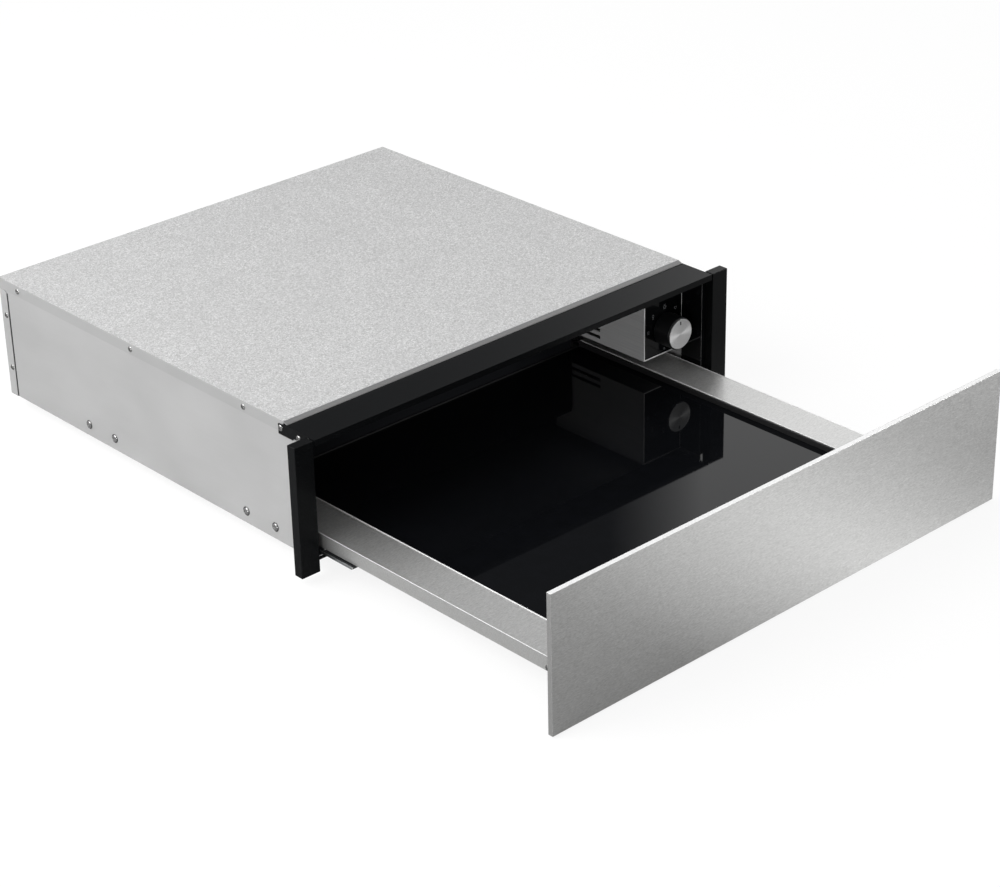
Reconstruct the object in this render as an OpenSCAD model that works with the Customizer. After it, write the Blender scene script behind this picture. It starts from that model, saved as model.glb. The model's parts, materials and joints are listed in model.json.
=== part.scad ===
// Built-in warming drawer, drawn with its drawer pulled out.
// Millimetres, +X to the right, +Y to the rear, +Z up.
// Pieces are drawn from the plane of the front posts and the posts' lower
// ends, then placed so that the feet stand on zero and the footprint is centred.

/* [Casing] */
// Width of the casing
body_w = 525; // [500:1:540]
// Depth from the posts' front to the casing's rear face
body_d = 519; // [519:1:560]
// Height of the casing, underside to top
casing_h = 133.7; // [133:0.1:140]
// Height of the underside above the posts' lower ends
base_rise = 5.5; // [4:0.5:6]
// Thickness of the galvanised sheet
sheet = 0.8; // [0.6:0.1:1]
// Height of the top cover's side flanges
cover_flange_h = 12.2; // [8:0.1:16]
// Length of the sloping fold at the cover's front
cover_fold = 5; // [3:0.5:8]
// Width of the rear panel's side flanges
rear_flange_w = 12; // [8:1:18]

/* [Posts and header] */
// Width of a front post
post_w = 21.7; // [18:0.1:24]
// Depth of a front post
post_d = 11; // [9:0.5:14]
// How far the posts and header lie below the top cover
header_step = 2.7; // [2:0.1:4]
// Thickness of the black front sheet
front_sheet = 1.2; // [1:0.1:1.5]
// Gap between a post and the header's end
post_gap = 1.5; // [1:0.1:3]
// Depth of the header's top
header_d = 46.3; // [44:0.1:48]
// Height of the header's front lip
header_lip_h = 6.5; // [5:0.5:10]
// Depth of the brackets inside the casing walls
bracket_d = 27.3; // [20:0.1:27.3]

/* [Front panel] */
// How far the front panel stands past the casing at each side
panel_side = 34.5; // [32:0.5:37]
// How far the panel's top lies below the posts' top
panel_top_gap = 4; // [2:0.5:8]
// Thickness of the front panel
panel_t = 5.5; // [5:0.5:12]
// How far the panel hangs below the posts
panel_drop = 6.5; // [4:0.5:7]
// Thickness of the panel's steel skin
panel_skin = 1.2; // [0.8:0.1:1.5]
// Thickness of the plate on the panel's back
back_plate_t = 1.5; // [1:0.1:2]

/* [Drawer] */
// Travel of the drawer from closed to where it stands
drawer_open = 336.5; // [300:0.5:340]
// Gap between the shut panel and the posts
closed_gap = 3; // [2:0.5:4]
// Room between the shut drawer's rear wall and the casing's rear face
rear_room = 39.5; // [39:0.5:60]
// Height of the drawer's side rails above the posts' lower ends
rail_top = 32.5; // [31:0.5:36]
// Width of a side rail's top
rail_w = 42.7; // [35:0.1:50]
// Depth of a side rail's outer skirt
skirt_h = 14.5; // [12:0.5:14.5]
// Thickness of the rails, tray and rear wall
rail_sheet = 1; // [0.8:0.1:1.2]
// How far the glass lies below the rails' top
glass_sunk = 6.5; // [5:0.5:8]
// Thickness of the glass
glass_t = 4; // [3:0.5:5]
// Height of the drawer's rear wall above the posts' lower ends
rear_wall_top = 100; // [60:1:110]

/* [Control box] */
// Width of the control box
box_w = 56.9; // [50:0.1:70]
// Depth of the control box
box_d = 133.5; // [125:0.5:160]
// Gap between the control box's top and the top of the cover
box_top_gap = 10.2; // [8:0.1:20]
// Height of its underside above the posts' lower ends
box_rise = 44; // [42:0.5:44]
// Thickness of the control box's sheet
box_sheet = 1.5; // [1:0.1:2]
// Thickness of the dark fascia
fascia_t = 2; // [1.5:0.1:3]
// Radius of the knob's disc
knob_disc_r = 16.3; // [14:0.1:18]
// How far the knob stands out from the fascia
knob_reach = 23.5; // [18:0.5:26]
// Radius of the thermostat's shaft
shaft_r = 3; // [2.5:0.1:3.5]
// Width of a vent slot
vent_slot_h = 3.4; // [2.5:0.1:3.6]
// Room kept under the fan for the heater
fan_base = 29.7; // [22:0.1:32]

/* [Runners] */
// Width of a runner's middle channel
channel_w = 9.5; // [8.5:0.1:9.5]
// Height of a runner's middle channel
channel_h = 8.6; // [8:0.1:8.6]
// Reach of the middle channel in front of the posts
channel_reach = 40; // [30:1:60]
// Thickness of the runners' steel
runner_sheet = 0.9; // [0.8:0.1:1]
// Gap between a runner's outer member and the rear panel
outer_rear_gap = 38.2; // [34:0.1:60]

/* [Feet and fixings] */
// Height of a foot
foot_h = 13.5; // [12:0.5:16]
// Radius of a foot
foot_r = 15; // [10:0.5:20]
// Radius of a screw's or rivet's head
head_r = 3.2; // [2.6:0.1:3.4]
// Radius of a screw's or rivet's shank
shank_r = 1.9; // [1.5:0.1:2]
// Radius of the mains cord's hole in the gland
cord_bore_r = 4.1; // [3:0.1:5]

/* [Hidden] */
$fn = 48;

// Overrun of every cut, and the small gaps between pieces
over = 1;
loose = 0.2;
seat = 0.3;
run = 0.05;
thread_gap = 0.1;

// Casing planes, from the posts' front and lower ends
half_w = body_w / 2;
side_out = half_w - sheet;
side_in = side_out - sheet;
top_z = base_rise + casing_h;
post_h = top_z - header_step;
cover_under = top_z - sheet;
rear_in = body_d - sheet;
floor_top = base_rise + sheet;
flange_top = floor_top + sheet;
floor_flange_w = 15;
cover_flange_z = top_z - cover_flange_h;
fold_y = header_d + loose;
mitre = 3;

// Header and posts
header_under = post_h - front_sheet;
tab_in = half_w + thread_gap;
header_half = tab_in + front_sheet;
post_in = header_half + post_gap;
post_out = post_in + post_w;
tab_front = 12;
tab_step = 32;
tab_rear = 53;
tab_low = 11.5;
tab_high = 9.5;
bracket_front = post_d - front_sheet;
bracket_rear = post_d + bracket_d;
bracket_in = side_in - front_sheet;
bracket_top = cover_flange_z;
sill_h = 3.5;
sill_lip = 29;
sill_top = base_rise + sill_h;

// Where the screws and rivets sit along the casing's sides
cover_screw_front = 107;
cover_screw_rear = body_d - 34;
cover_screw_shares = [0, 0.476, 1];
cover_screw_ys = [
    for (share = cover_screw_shares)
        cover_screw_front + share * (cover_screw_rear - cover_screw_front)
];
cover_screw_drop = 6.2;
header_screw_rear = 3.5;
header_screw_front = 11;
header_screw_drops = [4.7, 6.5];
header_screws = [
    [tab_rear - header_screw_rear, post_h - header_screw_drops[0]],
    [tab_front + header_screw_front, post_h - header_screw_drops[1]]
];
rear_screw_in = 8;
rear_screw_rise = 32.5;
rear_screw_drop = 41.2;
rear_screw_zs = [base_rise + rear_screw_rise, top_z - rear_screw_drop];
rivet_front = 70;
rivet_rear = 144;
rivet_pitch = 44.5;
rivet_ys = [
    rivet_front, rivet_front + rivet_pitch,
    body_d - rivet_rear - rivet_pitch, body_d - rivet_rear
];
rivet_rise = 11.1;
rivet_z = flange_top + seat + rivet_rise;
head_h = 1.4;
shank_in = 4;
hole_r = shank_r + thread_gap;

// Front panel planes
panel_w = body_w + panel_side * 2;
panel_back = -(closed_gap + drawer_open);
panel_front = panel_back - panel_t;
panel_low = -panel_drop;
panel_high = post_h - panel_top_gap;
plate_front = panel_back - back_plate_t;
buffer_r = 5;
buffer_x = post_in + post_w / 2;
buffer_in = 12;
buffer_t = closed_gap - seat;

// Drawer planes
drawer_l = body_d + closed_gap - rear_room;
drawer_rear = panel_back + drawer_l;
rail_side_gap = 7.5;
rail_out = half_w - rail_side_gap;
rail_in = rail_out - rail_w;
skirt_z = rail_top - skirt_h;
glass_top = rail_top - glass_sunk;
glass_z = glass_top - glass_t;
pad_h = 4.5;
pad_r = 8;
tray_top = glass_z - pad_h;
tray_z = tray_top - rail_sheet;
rail_foot_w = 9.3;
tray_front = panel_back + front_sheet + loose;
glass_rear = drawer_rear - seat;
gasket_t = 1.7;
gasket_h = 6;
gasket_rear_h = 2;
wall_t = 1.2;
wall_clear = 4;
crossbar_d = 24;
crossbar_h = 9;
lug_l = 54;
lug_top = rail_top - rail_sheet - loose;
drawer_screw = [43.5, 3.5];

// Control box planes
box_right = side_in;
box_left = box_right - box_w;
box_front = bracket_rear + loose;
box_rear = box_front + box_d;
box_top = top_z - box_top_gap;
box_h = box_top - box_rise;
wall_right = box_left - wall_clear;
vent_front = 65;
vent_rear_land = 12;
vent_zs = [5.3, 13.3];
knob_x = box_left + 30;
knob_z = box_rise + 30;
knob_face = box_front - knob_reach;
knob_wall = 1.2;
knob_disc_t = 1.2;
knob_gap = 1;
knob_socket = 13.5;
pointer_in = 2.4;
pointer_size = [1.6, 3.6];
pointer_t = 0.4;
fascia_rear = box_front + fascia_t;
fascia_hole_gap = 1;
stat_size = [30, 21.5, 30];
stat_bore = 12.5;
shaft_end_gap = 1;

// Fan, heater and cutout inside the control box
fan_wall = 1.5;
fan_clear = 1.5;
fan_out = (box_h - box_sheet * 2 - seat - fan_base) / 2;
impeller_r = fan_out - fan_wall - fan_clear;
fan_y = box_rear - box_sheet - seat - fan_out;
fan_z = box_top - box_sheet - seat - fan_out;
fan_x = box_left + box_sheet + 2.5;
fan_len = 24;
motor_share = 0.54;
motor_r = fan_out * motor_share;
fan_shaft_r = 2;
fan_hub_r = 5;
blade_t = 1;
blade_l = 6;
blades = 16;
impeller_len = 18;
motor_gap = 2.5;
motor_bore = 8;
heater_r = 3.2;
heater_half = 16;
heater_x = box_left + box_w / 2;
heater_z = box_rise + 11;
heater_l = 80;
heater_plate = [48, 1.5, 12];
cutout_r = 8;
cutout_t = 6;
cutout_y = box_front + 61.5;
cutout_z = box_rise + 31;

// Terminal block, conduit and gland at the rear
block_size = [23, 28, 18];
block_z = box_top - 3 - block_size[2];
block_right = side_in - loose;
conduit_r = 4;
conduit_x = block_right - block_size[0] / 2;
conduit_z = block_z + block_size[2] / 2;
gland_in = 48.9;
gland_drop = 47.2;
gland_x = side_in - gland_in;
gland_z = top_z - gland_drop;
gland_r = 8;
gland_collar_r = 11;
gland_collar_t = 6;
gland_neck = 14;
gland_nut_t = 4;

// Runner planes
outer_z = flange_top + seat;
outer_y = bracket_rear + 1.7;
outer_l = rear_in - outer_rear_gap - outer_y;
outer_web_h = 14.6;
outer_lip_h = 4.6;
web_in = side_in - runner_sheet;
channel_out = web_in - seat;
channel_in = channel_out - channel_w;
glide_t = 0.7;
channel_z = outer_z + runner_sheet + seat + glide_t;
outer_lip_out = channel_in - seat;
outer_lip_in = outer_lip_out - runner_sheet;
glide_w = 5;
channel_end_gap = 11.75;
channel_rear = outer_y + outer_l - channel_end_gap - drawer_open / 2;
glide_backs = [100, 50];
glide_l = 40;
inner_out = rail_out - rail_sheet - loose;
inner_in = inner_out - rail_sheet;
inner_front = panel_back + lug_l + 5;
inner_z = skirt_z + 1.5;
tongue_rear = 12;
tongue_l = 68;
tongue_w = 4.7;
tongue_z = channel_z + runner_sheet + seat;

// Push latch and drawer switch on the rear panel
shut_rear = drawer_rear + wall_t + drawer_open;
latch_face = shut_rear + seat;
latch_size = [28, 28, 22];
latch_drop = 50;
latch_z = rear_wall_top - latch_drop;
latch_r = 4;
latch_travel = 4;
latch_hidden = 15;
switch_size = [28, 23, 16];
switch_x = -116;
switch_r = 2.5;
switch_hidden = 6;
switch_travel = 3;

// Feet
foot_in = 38.9;
foot_x = side_in - foot_in;
foot_front = 55;
foot_rear = 54;
foot_bevel = 2;

// Where the drawn frame stands
rear_reach = body_d + gland_collar_t;
stand_y = -(rear_reach + panel_front) / 2;
stand_z = foot_h - base_rise;

module placed() translate([0, stand_y, stand_z]) children();

module left() mirror([1, 0, 0]) children();

// A block between two corners
module block(low, high) translate(low) cube(high - low);

// A round bar along X or Y from its start point
module bar_x(start, r, l) translate(start) rotate([0, 90, 0]) cylinder(r = r, h = l);
module bar_y(start, r, l) translate(start) rotate([-90, 0, 0]) cylinder(r = r, h = l);

// A domed head with a shank behind it, its seat on x = 0 and its head towards +X
module fastener(depth) {
    rotate([0, 90, 0]) rotate_extrude()
        polygon([[0, 0], [head_r, 0], [head_r, head_h / 3], [head_r / 2, head_h], [0, head_h]]);
    bar_x([-depth, 0, 0], shank_r, depth);
}

// Holes through the right wall for everything that fastens it
module cover_holes() {
    for (y = cover_screw_ys)
        bar_x([side_in - over, y, top_z - cover_screw_drop], hole_r, over * 4);
    bar_x([side_in - over, header_screws[0][0], header_screws[0][1]], hole_r, over * 4);
}

module rear_holes() for (z = rear_screw_zs)
    bar_x([side_in - over, body_d - rear_screw_in, z], hole_r, over * 4);

module rivet_holes(start, l) for (y = rivet_ys) bar_x([start, y, rivet_z], hole_r, l);

// Casing

module cover_flange() difference() {
    block([side_out, fold_y, cover_flange_z], [half_w, rear_in, top_z]);
    cover_holes();
}

module top_cover() color("gainsboro") placed() {
    rotate([90, 0, 90]) translate([0, 0, -half_w]) linear_extrude(body_w)
        polygon([
            [fold_y, top_z], [body_d, top_z], [body_d, cover_under], [fold_y, cover_under],
            [fold_y - cover_fold, post_h + thread_gap],
            [fold_y - cover_fold, post_h + thread_gap + sheet]
        ]);
    cover_flange();
    left() cover_flange();
}

module side_panel() difference() {
    union() {
        rotate([90, 0, 90]) translate([0, 0, side_in]) linear_extrude(sheet)
            polygon([
                [post_d, base_rise], [rear_in, base_rise], [rear_in, cover_under],
                [fold_y, cover_under], [fold_y, header_under], [post_d, header_under]
            ]);
        block([side_in - floor_flange_w, bracket_rear, floor_top], [side_in, rear_in, flange_top]);
    }
    cover_holes();
    rear_holes();
    rivet_holes(side_in - over, sheet + over * 2);
    bar_x([side_in - over, header_screws[1][0], header_screws[1][1]], hole_r, sheet + over * 2);
}

module right_side_panel() color("silver") placed() side_panel();
module left_side_panel() color("silver") placed() left() side_panel();

module rear_flange() difference() {
    rotate([90, 0, 90]) translate([0, 0, side_out]) linear_extrude(sheet)
        polygon([
            [body_d - rear_flange_w, base_rise], [body_d, base_rise],
            [body_d, cover_flange_z - loose], [body_d - rear_flange_w + mitre, cover_flange_z - loose],
            [body_d - rear_flange_w, cover_flange_z - loose - mitre]
        ]);
    rear_holes();
}

module rear_panel() color("silver") placed() {
    difference() {
        block([-half_w, rear_in, base_rise], [half_w, body_d, cover_under]);
        bar_y([gland_x, rear_in - over, gland_z], gland_r + thread_gap, sheet + over * 2);
    }
    rear_flange();
    left() rear_flange();
}

module base_pan() color("silver") placed()
    block([-side_in, post_d, base_rise], [side_in, rear_in, floor_top]);

// Black front frame

module header_tab() difference() {
    rotate([90, 0, 90]) translate([0, 0, tab_in]) linear_extrude(front_sheet)
        polygon([
            [tab_front, post_h], [tab_front, post_h - tab_high], [tab_step, post_h - tab_high],
            [tab_step, post_h - tab_low], [tab_rear, post_h - tab_low],
            [tab_rear, header_under], [header_d, header_under], [header_d, post_h]
        ]);
    for (place = header_screws) bar_x([tab_in - over, place[0], place[1]], hole_r, over * 4);
}

module front_header() color("#202124") placed() {
    block([-tab_in, 0, header_under], [tab_in, header_d, post_h]);
    block([-header_half, 0, post_h - header_lip_h], [header_half, front_sheet, post_h]);
    block([-header_half, 0, header_under], [header_half, tab_front, post_h]);
    header_tab();
    left() header_tab();
}

module post() difference() {
    block([post_in, 0, 0], [post_out, post_d, post_h]);
    block(
        [post_in + front_sheet, front_sheet, front_sheet],
        [post_out - front_sheet, post_d + over, header_under]
    );
    block(
        [post_in - over, bracket_front - loose, front_sheet * 2],
        [post_in + front_sheet + over, post_d + over, header_under - front_sheet]
    );
}

module right_post() color("#202124") placed() post();
module left_post() color("#202124") placed() left() post();

// One leg lies inside the casing wall, the other closes the post's back
module post_bracket() {
    low = sill_top + seat;
    block([bracket_in, bracket_front, low], [side_in, bracket_rear, bracket_top]);
    block([bracket_in, bracket_front, low], [post_in, post_d - loose, bracket_top]);
    block([post_in, bracket_front, low], [post_out - front_sheet - loose, post_d, bracket_top]);
}

module right_post_bracket() color("#101113") placed() post_bracket();
module left_post_bracket() color("#101113") placed() left() post_bracket();

module front_sill() color("#202124") placed() {
    block([loose - post_in, bracket_front, base_rise], [post_in - loose, post_d, sill_top]);
    block(
        [floor_flange_w - side_in, bracket_front, floor_top],
        [side_in - floor_flange_w, post_d + sill_lip, floor_top + front_sheet]
    );
}

// Control box and what it holds

module control_box() color("lightgray") placed() difference() {
    block([box_left, box_front, box_rise], [box_right, box_rear, box_top]);
    block(
        [box_left + box_sheet, box_front - over, box_rise + box_sheet],
        [box_right - box_sheet, box_rear - box_sheet, box_top - box_sheet]
    );
    for (z = vent_zs)
        block(
            [box_left - over, box_front + vent_front, box_rise + z],
            [box_left + box_sheet + over, box_rear - vent_rear_land, box_rise + z + vent_slot_h]
        );
}

module control_fascia() color("#0c0d0f") placed() difference() {
    block(
        [box_left + box_sheet + loose, box_front, box_rise + box_sheet + loose],
        [box_right - box_sheet - loose, fascia_rear, box_top - box_sheet - loose]
    );
    bar_y([knob_x, box_front - over, knob_z], shaft_r + fascia_hole_gap, fascia_t + over * 2);
}

module thermostat() color("dimgray") placed() difference() {
    block(
        [knob_x - stat_size[0] / 2, fascia_rear, knob_z - stat_size[2] / 2],
        [knob_x + stat_size[0] / 2, fascia_rear + stat_size[1], knob_z + stat_size[2] / 2]
    );
    bar_y([knob_x, fascia_rear - over, knob_z], shaft_r + run, stat_bore + over);
}

module fan_motor() color("gray") placed() difference() {
    bar_x([fan_x + fan_len, fan_y, fan_z], motor_r, box_right - box_sheet - fan_x - fan_len);
    bar_x([fan_x + fan_len - over, fan_y, fan_z], fan_shaft_r + run, motor_bore + over);
}

module fan_housing() color("silver") placed() difference() {
    bar_x([fan_x, fan_y, fan_z], fan_out, fan_len + fan_wall);
    bar_x([fan_x - over, fan_y, fan_z], fan_out - fan_wall, fan_len + over);
    bar_x([fan_x, fan_y, fan_z], motor_r + seat, fan_len + fan_wall + over);
}

module fan_impeller() color("#303236") placed() translate([fan_x + fan_len - motor_gap, fan_y, fan_z]) {
    bar_x([-blade_t, 0, 0], impeller_r, blade_t);
    bar_x([-impeller_len, 0, 0], fan_hub_r, impeller_len);
    bar_x([-impeller_len, 0, 0], fan_shaft_r, impeller_len + motor_gap + motor_bore - shaft_end_gap);
    difference() {
        bar_x([-impeller_len, 0, 0], impeller_r, blade_t);
        bar_x([-impeller_len - over, 0, 0], impeller_r - blade_t * 2, blade_t + over * 2);
    }
    for (i = [0 : blades - 1]) rotate([i * 360 / blades, 0, 0])
        block([-impeller_len, impeller_r - blade_l, 0], [0, impeller_r - blade_t / 2, blade_t]);
}

module heater_element() color("#5a5148") placed() translate([heater_x, box_rear - box_sheet, heater_z]) {
    for (side = [-1, 1]) bar_y([side * heater_half, -heater_l, 0], heater_r, heater_l);
    translate([0, -heater_l, 0]) rotate([0, 0, 180]) rotate_extrude(angle = 180)
        translate([heater_half, 0]) circle(heater_r);
    block(
        [-heater_plate[0] / 2, -heater_plate[1], -heater_plate[2] / 2],
        [heater_plate[0] / 2, 0, heater_plate[2] / 2]
    );
}

module thermal_cutout() color("#b8b8b8") placed()
    bar_x([box_right - box_sheet - cutout_t, cutout_y, cutout_z], cutout_r, cutout_t);

module terminal_block() color("ivory") placed()
    block(
        [block_right - block_size[0], rear_in - block_size[1], block_z],
        [block_right, rear_in, block_z + block_size[2]]
    );

module wire_conduit() color("#1c1c1e") placed()
    bar_y([conduit_x, box_rear, conduit_z], conduit_r, rear_in - block_size[1] - box_rear);

module mains_gland() color("#1c1c1e") placed() difference() {
    union() {
        bar_y([gland_x, body_d, gland_z], gland_collar_r, gland_collar_t);
        bar_y([gland_x, body_d - gland_neck, gland_z], gland_r, gland_neck);
        bar_y([gland_x, rear_in - gland_nut_t, gland_z], gland_collar_r, gland_nut_t);
    }
    bar_y([gland_x, body_d - gland_neck - over, gland_z], cord_bore_r,
        gland_neck + gland_collar_t + over * 2);
}

// Runners

module runner_outer() {
    difference() {
        block([web_in, outer_y, outer_z], [side_in, outer_y + outer_l, outer_z + outer_web_h]);
        rivet_holes(web_in - over, runner_sheet + over * 2);
    }
    block([outer_lip_in, outer_y, outer_z], [side_in, outer_y + outer_l, outer_z + runner_sheet]);
    block([outer_lip_in, outer_y, outer_z], [outer_lip_out, outer_y + outer_l, outer_z + outer_lip_h]);
}

module right_runner_outer() color("silver") placed() runner_outer();
module left_runner_outer() color("silver") placed() left() runner_outer();

module runner_middle() difference() {
    block(
        [channel_in, -channel_reach, channel_z],
        [channel_out, channel_rear, channel_z + channel_h]
    );
    block(
        [channel_in + runner_sheet, -channel_reach - over, channel_z + runner_sheet],
        [channel_out - runner_sheet, channel_rear + over, channel_z + channel_h + over]
    );
}

module right_runner_middle() color("#8f9194") placed() runner_middle();
module left_runner_middle() color("#8f9194") placed() left() runner_middle();

module runner_glides() for (back = glide_backs)
    translate([(channel_in + channel_out - glide_w) / 2, channel_rear - back, channel_z - glide_t])
        cube([glide_w, glide_l, glide_t]);

module right_runner_glides() color("white") placed() runner_glides();
module left_runner_glides() color("white") placed() left() runner_glides();

module runner_inner() {
    block([inner_in, inner_front, inner_z], [inner_out, drawer_rear, lug_top]);
    translate([inner_in, drawer_rear - tongue_rear - tongue_l, tongue_z]) {
        cube([rail_sheet, tongue_l, inner_z - tongue_z]);
        cube([tongue_w, tongue_l, rail_sheet]);
    }
}

module right_runner_inner() color("silver") placed() runner_inner();
module left_runner_inner() color("silver") placed() left() runner_inner();

// Push latch and drawer switch

module latch_housing() color("#2a2b2e") placed() difference() {
    translate([-latch_size[0] / 2, rear_in - latch_size[1], latch_z]) cube(latch_size);
    bar_y([0, rear_in - latch_size[1] - over, latch_z + latch_size[2] / 2], latch_r + run,
        latch_hidden + latch_travel + over * 2);
}

module latch_plunger() color("white") placed()
    bar_y([0, latch_face, latch_z + latch_size[2] / 2], latch_r,
        rear_in - latch_size[1] - latch_face + latch_hidden);

module switch_housing() color("#2a2b2e") placed() difference() {
    translate([switch_x - switch_size[0] / 2, rear_in - switch_size[1], latch_z]) cube(switch_size);
    bar_y([switch_x, rear_in - switch_size[1] - over, latch_z + switch_size[2] / 2], switch_r + run,
        switch_hidden + switch_travel + over * 2);
}

module switch_button() color("red") placed()
    bar_y([switch_x, latch_face, latch_z + switch_size[2] / 2], switch_r,
        rear_in - switch_size[1] - latch_face + switch_hidden);

// Feet and fixings

module foot(x, y) color("#1a1a1a") placed() translate([x, y, base_rise - foot_h])
    rotate_extrude()
        polygon([
            [0, 0], [foot_r - foot_bevel, 0], [foot_r, foot_bevel], [foot_r, foot_h], [0, foot_h]
        ]);

module front_left_foot() foot(-foot_x, foot_front);
module front_right_foot() foot(foot_x, foot_front);
module rear_left_foot() foot(-foot_x, body_d - foot_rear);
module rear_right_foot() foot(foot_x, body_d - foot_rear);

module side_screws() {
    for (y = cover_screw_ys) translate([half_w, y, top_z - cover_screw_drop]) fastener(shank_in);
    for (z = rear_screw_zs) translate([half_w, body_d - rear_screw_in, z]) fastener(shank_in);
    for (place = header_screws) translate([header_half, place[0], place[1]]) fastener(shank_in);
}

module casing_screws() color("whitesmoke") placed() {
    side_screws();
    left() side_screws();
}

module side_rivets() for (y = rivet_ys)
    translate([side_out, y, rivet_z]) fastener(side_out - web_in);

module runner_rivets() color("whitesmoke") placed() {
    side_rivets();
    left() side_rivets();
}

// Front panel

module front_panel() color("silver") placed() difference() {
    block([-panel_w / 2, panel_front, panel_low], [panel_w / 2, panel_back, panel_high]);
    block(
        [panel_skin - panel_w / 2, panel_front + panel_skin, panel_low + panel_skin],
        [panel_w / 2 - panel_skin, panel_back + over, panel_high - panel_skin]
    );
}

// A sheet that fits inside the panel's skin
module panel_layer(front, rear) block(
    [panel_skin + loose - panel_w / 2, front, panel_low + panel_skin + loose],
    [panel_w / 2 - panel_skin - loose, rear, panel_high - panel_skin - loose]
);

module panel_core() color("tan") placed() panel_layer(panel_front + panel_skin, plate_front);

module panel_back_plate() color("#202124") placed() panel_layer(plate_front, panel_back);

module panel_buffers() color("#1a1a1a") placed()
    for (x = [-buffer_x, buffer_x], z = [buffer_in, post_h - buffer_in])
        bar_y([x, panel_back, z], buffer_r, buffer_t);

// Drawer

module front_crossmember() color("silver") placed() {
    x = rail_in - rail_foot_w - loose;
    block([-x, panel_back, tray_z - crossbar_h], [x, panel_back + front_sheet, tray_z]);
    block([-x, panel_back, tray_z - front_sheet], [x, panel_back + crossbar_d, tray_z]);
}

module drawer_rail() difference() {
    union() {
        block([rail_in, panel_back, rail_top - rail_sheet], [rail_out, drawer_rear, rail_top]);
        block([rail_out - rail_sheet, panel_back, skirt_z], [rail_out, drawer_rear, rail_top]);
        block([rail_in, panel_back, tray_z - rail_sheet], [rail_in + rail_sheet, drawer_rear, rail_top]);
        block(
            [rail_in - rail_foot_w, panel_back, tray_z - rail_sheet],
            [rail_in + rail_sheet, drawer_rear, tray_z]
        );
    }
    bar_x([rail_out - rail_sheet - over, panel_back + drawer_screw[0], skirt_z + drawer_screw[1]],
        hole_r, rail_sheet + over * 2);
}

module right_drawer_rail() color("gainsboro") placed() drawer_rail();
module left_drawer_rail() color("gainsboro") placed() left() drawer_rail();

module drawer_tray() color("silver") placed()
    block([loose - rail_in, tray_front, tray_z], [rail_in - loose, drawer_rear + wall_t, tray_top]);

module drawer_rear_wall() color("#202124") placed()
    block([loose - rail_in, drawer_rear, tray_top], [wall_right, drawer_rear + wall_t, rear_wall_top]);

module glass_floor() color("#08090b") placed()
    block([seat - rail_in, tray_front, glass_z], [rail_in - seat, glass_rear, glass_top]);

module glass_gasket() color("#0c0c0d") placed() {
    for (x = [-rail_in, rail_in - gasket_t])
        block([x, tray_front, glass_top], [x + gasket_t, glass_rear, glass_top + gasket_h]);
    block(
        [-rail_in, glass_rear - gasket_t, glass_top],
        [rail_in, glass_rear, glass_top + gasket_rear_h]
    );
}

module glass_pads() color("#404040") placed()
    for (x_share = [-0.8, 0, 0.8], y_share = [0.1, 0.9])
        translate([rail_in * x_share, tray_front + drawer_l * y_share, tray_top])
            cylinder(r = pad_r, h = pad_h);

module front_bracket() difference() {
    union() {
        block(
            [rail_in + rail_sheet + loose, panel_back, skirt_z],
            [rail_out - rail_sheet - loose, panel_back + front_sheet, lug_top]
        );
        block(
            [rail_out - rail_sheet - loose - front_sheet, panel_back, skirt_z],
            [rail_out - rail_sheet - loose, panel_back + lug_l, lug_top]
        );
    }
    bar_x([inner_in - over, panel_back + drawer_screw[0], skirt_z + drawer_screw[1]],
        hole_r, front_sheet + over * 2);
}

module right_front_bracket() color("silver") placed() front_bracket();
module left_front_bracket() color("silver") placed() left() front_bracket();

module drawer_screw_right() translate([rail_out, panel_back + drawer_screw[0], skirt_z + drawer_screw[1]])
    fastener(shank_in);

module drawer_screws() color("whitesmoke") placed() {
    drawer_screw_right();
    left() drawer_screw_right();
}

// Knob and thermostat shaft

module knob_body() color("#101113") placed() difference() {
    bar_y([knob_x, knob_face + knob_disc_t, knob_z], knob_disc_r + knob_wall,
        knob_reach - knob_disc_t - knob_gap);
    bar_y([knob_x, box_front - knob_socket, knob_z], shaft_r + run, knob_socket + over);
}

module knob_disc() color("silver") placed() difference() {
    bar_y([knob_x, knob_face, knob_z], knob_disc_r, knob_disc_t);
    translate([knob_x, knob_face - over, knob_z + knob_disc_r - pointer_in - pointer_size[1]])
        translate([-pointer_size[0] / 2 - run, 0, -run])
            cube([pointer_size[0] + run * 2, over + pointer_t, pointer_size[1] + run * 2]);
}

module knob_pointer() color("black") placed()
    translate([
        knob_x - pointer_size[0] / 2, knob_face,
        knob_z + knob_disc_r - pointer_in - pointer_size[1]
    ])
        cube([pointer_size[0], pointer_t, pointer_size[1]]);

module thermostat_shaft() color("#b8a060") placed()
    bar_y([knob_x, box_front - knob_socket, knob_z], shaft_r,
        knob_socket + fascia_t + stat_bore - shaft_end_gap);

top_cover();
left_side_panel();
right_side_panel();
rear_panel();
base_pan();
front_header();
left_post();
right_post();
left_post_bracket();
right_post_bracket();
front_sill();
control_box();
control_fascia();
thermostat();
fan_motor();
fan_housing();
fan_impeller();
heater_element();
thermal_cutout();
terminal_block();
wire_conduit();
mains_gland();
left_runner_outer();
right_runner_outer();
left_runner_middle();
right_runner_middle();
left_runner_glides();
right_runner_glides();
left_runner_inner();
right_runner_inner();
latch_housing();
latch_plunger();
switch_housing();
switch_button();
front_left_foot();
front_right_foot();
rear_left_foot();
rear_right_foot();
casing_screws();
runner_rivets();
front_panel();
panel_core();
panel_back_plate();
panel_buffers();
front_crossmember();
left_drawer_rail();
right_drawer_rail();
drawer_tray();
drawer_rear_wall();
glass_floor();
glass_gasket();
glass_pads();
left_front_bracket();
right_front_bracket();
drawer_screws();
knob_body();
knob_disc();
knob_pointer();
thermostat_shaft();
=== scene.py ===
"""Looks of a built-in warming drawer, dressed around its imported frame. Metres, +Z up."""

import json
import math

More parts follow.
